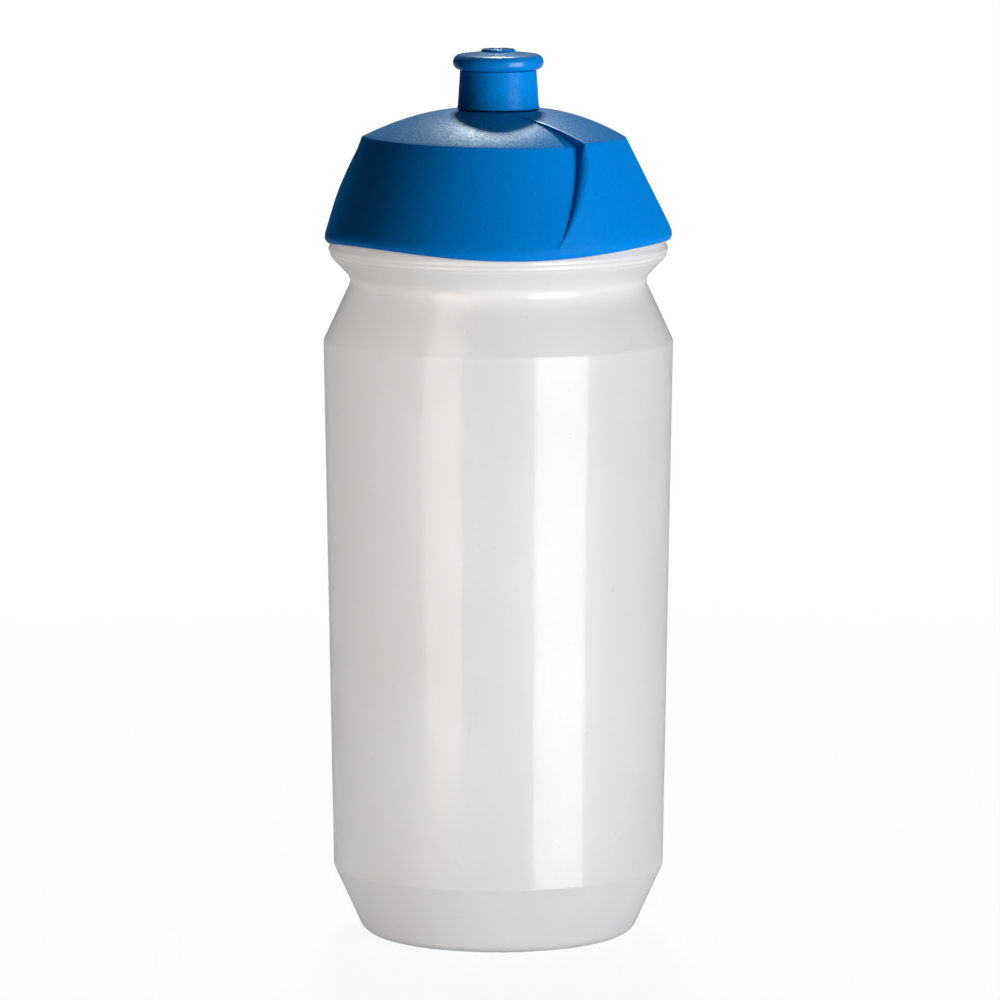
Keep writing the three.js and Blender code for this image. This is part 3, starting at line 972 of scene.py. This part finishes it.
    def set_vertex(self, vert: bmesh.types.BMVert, side: Side, column: Column) -> None:
        """Moves one vertex of the turned lid to its place.

        Args:
            vert: the vertex.
            side: the side of the lid it belongs to.
            column: its column.
        """
        r, z = vert.co.xy.length / MM, vert.co.z / MM
        spread = self.spread * column.place * (1 - column.share)
        if side in (Side.SKIRT, Side.DOME):
            start, end = (self.rim_radius, self.foot_z), (self.high_radius, self.high_z)
            flat = (z - start[1]) / (end[1] - start[1])
            if side is Side.DOME:
                start = (self.crown_radius, self.crown_z)
                flat = (r - start[0]) / (end[0] - start[0])
            way = min(max(flat, 0.0), 1.0)
            point = self.swirled(side, column, way)
            away = Vector((point.x, point.y, 0)).normalized()
            point += away * (r - blend(start[0], end[0], way)) + Vector((0, 0, z - blend(start[1], end[1], way)))
            vert.co = Matrix.Rotation(math.radians(spread), 3, "Z") @ point * MM
            return
        azimuth = self.step_azimuth + 360 / self.panels * (column.panel + column.share) + spread
        if side is Side.CROWN:
            twist = self.step_sweep + self.crease_turn(self.crown_radius) - self.crease_turn(self.high_radius)
            azimuth += twist * (r - self.bore) / (self.crown_radius - self.bore)
        if self.in_collar(r, z):
            r -= self.thread.height(azimuth % 360, z)
        angle = math.radians(azimuth)
        vert.co = Vector((r * math.sin(angle), -r * math.cos(angle), z)) * MM

    def build(self) -> bpy.types.Object:
        """Makes the lid."""
        return stand_for("swirled_lid", self.shape(), "lid", "screw_lid", self.finish.material())


@dataclass
class LidSeal:
    """The flat ring between the neck's lip and the lid."""

    columns: int = 144
    section: Corners = (
        Corner(26.25, 160.2, 0.25), Corner(28.45, 160.2, 0.25),
        Corner(28.45, 161.4, 0.25), Corner(26.25, 161.4, 0.25),
    )
    finish: SealSilicone = SealSilicone()

    def build(self) -> bpy.types.Object:
        """Makes the ring."""
        bm = Turning(self.section, self.columns, arc=3).made()
        return stand_for("lid_seal_ring", bm, "seal", "lid_gasket", self.finish.material())


@dataclass
class PushPullNozzle:
    """The sliding nozzle: a grained sleeve with a smoother mouthpiece pressed on its neck.

    The sleeve is flared, with a foot lip, an inner rib and a neck. The mouthpiece has a raised lip at its orifice.
    """

    columns: int = 96
    sleeve_section: Corners = (
        Corner(5.2, 175.9, 0.15), Corner(8.85, 175.9, 0.25), Corner(8.55, 176.4, 0.2),
        Corner(8.05, 183.95, 0.15), Corner(7.15, 183.95, 0.1), Corner(7.15, 185.6, 0.3),
        Corner(6.15, 185.6, 0.2), Corner(6.15, 176.7, 0.1), Corner(5.2, 176.7, 0.15),
    )
    sleeve_rows: float = 1.0
    sleeve_finish: GrainedPlastic = GrainedPlastic(
        name="grained_sleeve", colour=(0.0, 0.25, 0.7), grain=0.34, relief=0.11, strength=0.75, roughness=0.3,
        glitter=0.06, frost_roughness=0.2,
    )
    mouth_section: Corners = (
        Corner(7.45, 184.05, 0.1), Corner(9.55, 184.05, 1.5), Corner(9.55, 187.1, 1.6),
        Corner(3.65, 187.8, 0.3), Corner(3.4, 188.4, 0.3), Corner(2.3, 188.4, 0.3),
        Corner(2.3, 185.9, 0.1), Corner(7.45, 185.9, 0.2),
    )
    mouth_rows: float = 0.6
    mouth_finish: GrainedPlastic = GrainedPlastic(
        name="smooth_mouthpiece", deep=(0.0, 0.204, 0.64), relief=0.012, roughness=0.24, strength=0.2,
        specular=0.4, frost=0.5, frost_roughness=0.42,
    )

    def sleeve(self) -> bpy.types.Object:
        """Makes the sleeve."""
        bm = Turning(self.sleeve_section, self.columns).made(self.sleeve_rows)
        return stand_for("nozzle_tube", bm, "nozzle", "nozzle_sleeve", self.sleeve_finish.material())

    def mouth(self) -> bpy.types.Object:
        """Makes the mouthpiece."""
        bm = Turning(self.mouth_section, self.columns, arc=8).made(self.mouth_rows)
        return stand_for(
            "round_mouthpiece", bm, "nozzle", "mouthpiece", self.mouth_finish.material()
        )

    def build(self) -> None:
        """Makes the sleeve and the mouthpiece."""
        self.sleeve()
        self.mouth()


@dataclass
class CarriedOver:
    """The CAD nodes whose shape stays: the valve stem and the small seal ring on its head."""

    stem_finish: GrainedPlastic = GrainedPlastic(
        name="stem_plastic", colour=shade(70, 140, 205), deep=shade(50, 125, 195), relief=0.02, roughness=0.35,
        strength=0.25,
    )
    seal_finish: SealSilicone = SealSilicone(name="stem_seal_silicone")

    def build(self) -> None:
        """Gives both nodes their materials."""
        finishes = {"valve_stem": self.stem_finish, "stem_seal_ring": self.seal_finish}
        for node, finish in finishes.items():
            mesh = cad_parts[node].data
            mesh.materials.clear()
            mesh.materials.append(finish.material())
            log.info("%s: CAD node, %s", node, finish.name)


@dataclass(frozen=True)
class Softbox:
    """A soft rectangular lamp that faces the bottle.

    Attributes:
        azimuth: where it stands, in degrees from the front towards the right.
        elevation: how high it stands, in degrees over the bottle's middle.
        distance: its distance in metres.
        width: its width in metres.
        height: its height in metres.
        radiance: how bright its face is.
        colour: its tint.
        mirrored: whether glossy surfaces mirror it.
        only: the pieces it lights, or none for all of them.
        spared: the pieces it doesn't light.
    """

    name: str
    azimuth: float
    elevation: float
    distance: float
    width: float
    height: float
    radiance: float
    colour: Colour = WHITE
    mirrored: bool = True
    only: tuple[str, ...] = ()
    spared: tuple[str, ...] = ()

    def build(self, target: Vector) -> bpy.types.Object:
        """Makes the lamp.

        Args:
            target: the point it is aimed at.

        Returns:
            The lamp.
        """
        data = bpy.data.lights.new(self.name, "AREA")
        data.shape = "RECTANGLE"
        data.size, data.size_y = self.width, self.height
        data.energy = self.radiance * math.pi * self.width * self.height
        data.color = self.colour
        lamp = bpy.data.objects.new(self.name, data)
        turn, lift = math.radians(self.azimuth), math.radians(self.elevation)
        away = Vector((math.sin(turn) * math.cos(lift), -math.cos(turn) * math.cos(lift), math.sin(lift)))
        lamp.location = target + away * self.distance
        lamp.rotation_euler = away.to_track_quat("Z", "Y").to_euler()
        lamp.visible_camera = False
        lamp.visible_glossy = self.mirrored
        bpy.context.scene.collection.objects.link(lamp)
        if self.only or self.spared:
            linked = bpy.data.collections.new(f"{self.name}_pieces")
            for piece in self.only + self.spared:
                linked.objects.link(bpy.data.objects[piece])
            for item in linked.collection_objects:
                item.light_linking.link_state = "INCLUDE" if self.only else "EXCLUDE"
            lamp.light_linking.receiver_collection = linked
        return lamp


@dataclass
class Studio:
    """Camera, floor, lamps and the white surround.

    Attributes:
        camera_pitch: how far the camera looks down, in degrees.
        ambient: how bright the surround is as a light.
        back_high: how bright the surround looks in mirroring surfaces high at the back.
        floor_glow: how bright it looks in them low at the back, like the floor.
        front_dark: how bright it looks in them elsewhere.
        floor_bounce: how much the floor glows as a light.
        floor_white: share of its glow near the bottle, where the rest is lit and keeps the shadow.
        floor_fade: where it melts into the surround: a distance in metres, and a share of its radius.
        floor_dim: distances between which its colour goes from near_floor to far_floor.
    """

    camera_place: Triple = (0.0, -1.580, 0.302)
    camera_pitch: float = 7.553
    lens: float = 270.25
    sensor: float = 36.0
    shift: float = 0.0017
    clip: Zone = (0.05, 20.0)
    floor_size: float = 0.6
    floor_sides: int = 96
    ambient: float = 0.02
    floor_glow: float = 0.3
    floor_bounce: float = 0.15
    floor_white: float = 0.92
    floor_fade: Zone = (0.04, 0.95)
    floor_dim: Zone = (0.08, 0.35)
    near_floor: Colour = (0.9, 0.9, 0.9)
    far_floor: Colour = (0.5, 0.5, 0.5)
    floor_roughness: float = 0.8
    floor_grain: float = 0.1
    floor_grain_scale: float = 300.0
    back_high: float = 0.04
    front_dark: float = 0.02
    back_zone: Zone = (0.5, 0.95)
    up_zone: Zone = (0.12, 0.4)
    down_zone: Zone = (-0.06, -0.12)
    target: Triple = (0.0, 0.0, 0.1)
    lamps: tuple[Softbox, ...] = (
        Softbox("bottle_key", 42.0, 2.0, 1.2, 0.79, 1.12, 6.45, KEY_TINT, only=BOTTLE_ONLY),
        Softbox("lid_key", 48.0, 0.0, 1.2, 0.75, 1.05, 7.9, KEY_TINT, spared=BOTTLE_ONLY),
        Softbox("left_strip", -37.0, 14.0, 1.43, 0.7, 1.5, 3.8, (1.0, 0.87, 0.76), only=BOTTLE_ONLY),
        Softbox("back_top_softbox", 180.0, 51.0, 1.2, 0.13, 0.08, 360.0, (0.9, 1.0, 0.95)),
        Softbox("left_fill", -105.0, 0.0, 1.0, 0.9, 0.9, 1.7, (1.0, 0.98, 0.96), False, only=BOTTLE_ONLY),
        Softbox("right_fill", 110.0, 0.0, 1.0, 0.9, 0.9, 1.6, (0.98, 0.99, 1.0), False, only=BOTTLE_ONLY),
    )

    def camera(self) -> None:
        """Makes the camera at the photograph's viewing angle."""
        data = bpy.data.cameras.new("camera")
        data.lens = self.lens
        data.sensor_width = self.sensor
        data.shift_x = self.shift
        data.clip_start, data.clip_end = self.clip
        camera = bpy.data.objects.new("camera", data)
        camera.location = self.camera_place
        camera.rotation_euler = (RIGHT_ANGLE - math.radians(self.camera_pitch), 0, 0)
        bpy.context.scene.collection.objects.link(camera)
        bpy.context.scene.camera = camera

    def surround(self) -> None:
        """Makes a world that is white to look at, dim as a light, and mirrored bright only at the back."""
        world = bpy.data.worlds.new("World")
        bpy.context.scene.world = world
        graph = Graph(world)
        path = graph.node("ShaderNodeLightPath")
        direction = graph.node("ShaderNodeTexCoord")["Generated"]
        parts = graph.node("ShaderNodeSeparateXYZ", {}, {0: direction})
        back = parts["Y"].ramp(*self.back_zone)
        up, down = parts["Z"].ramp(*self.up_zone), parts["Z"].ramp(*self.down_zone)
        mirrored = back * (up * self.back_high + down * self.floor_glow) + self.front_dark
        seen = path["Is Camera Ray"].at_least(path["Is Transmission Ray"])
        strength = seen.at_least(path["Is Glossy Ray"] * mirrored).at_least(self.ambient)
        shader = graph.node("ShaderNodeBackground", {}, {"Color": WHITE, "Strength": strength})["Background"]
        graph.node("ShaderNodeOutputWorld", {}, {"Surface": shader})

    def floor(self) -> None:
        """Makes the pale floor, which melts into the white surround and keeps the bottle's shadow."""
        bm = bmesh.new()
        bmesh.ops.create_circle(bm, cap_ends=True, segments=self.floor_sides, radius=self.floor_size)
        mesh = bpy.data.meshes.new("floor")
        bm.to_mesh(mesh)
        bm.free()
        floor = bpy.data.objects.new("floor", mesh)
        bpy.context.scene.collection.objects.link(floor)
        mesh.materials.append(self.floor_material())
        floor.visible_shadow = False
        floor.visible_glossy = False

    def floor_material(self) -> bpy.types.Material:
        """Builds the floor's material, a board that glows where it is looked at.

        Returns:
            The material.
        """
        material, graph = new_graph("floor_white")
        place = graph.place()
        far = graph.node("ShaderNodeVectorMath", {"operation": "LENGTH"}, {0: place})["Value"]
        fade = far.ramp(self.floor_fade[0], self.floor_size * self.floor_fade[1])
        path = graph.node("ShaderNodeLightPath")
        seen = path["Is Camera Ray"].at_least(path["Is Glossy Ray"]).at_least(path["Is Transmission Ray"])
        board = graph.plastic({
            "Base Color": graph.mixed(far.ramp(*self.floor_dim), self.near_floor, self.far_floor),
            "Roughness": self.floor_roughness + graph.noise(place, self.floor_grain_scale) * self.floor_grain,
            "Specular IOR Level": 0.0,
        })
        glow = graph.node("ShaderNodeEmission", {}, {"Color": WHITE, "Strength": 1.0})["Emission"]
        share = seen * (fade * (1 - self.floor_white) + self.floor_white)
        graph.surface(graph.shaders(share.at_least(self.floor_bounce), board, glow))
        return material

    def build(self) -> None:
        """Makes the whole studio."""
        self.camera()
        self.surround()
        self.floor()
        for lamp in self.lamps:
            lamp.build(Vector(self.target))
        bpy.context.scene.view_settings.view_transform = "Standard"


def main() -> None:
    """Builds the pieces in order, and the studio around them."""
    logging.basicConfig(level=logging.INFO, format="%(name)s: %(message)s")
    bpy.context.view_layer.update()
    BlownBottle().build()
    ScrewLid().build()
    LidSeal().build()
    PushPullNozzle().build()
    CarriedOver().build()
    Studio().build()


if __name__ == "__main__":
    main()
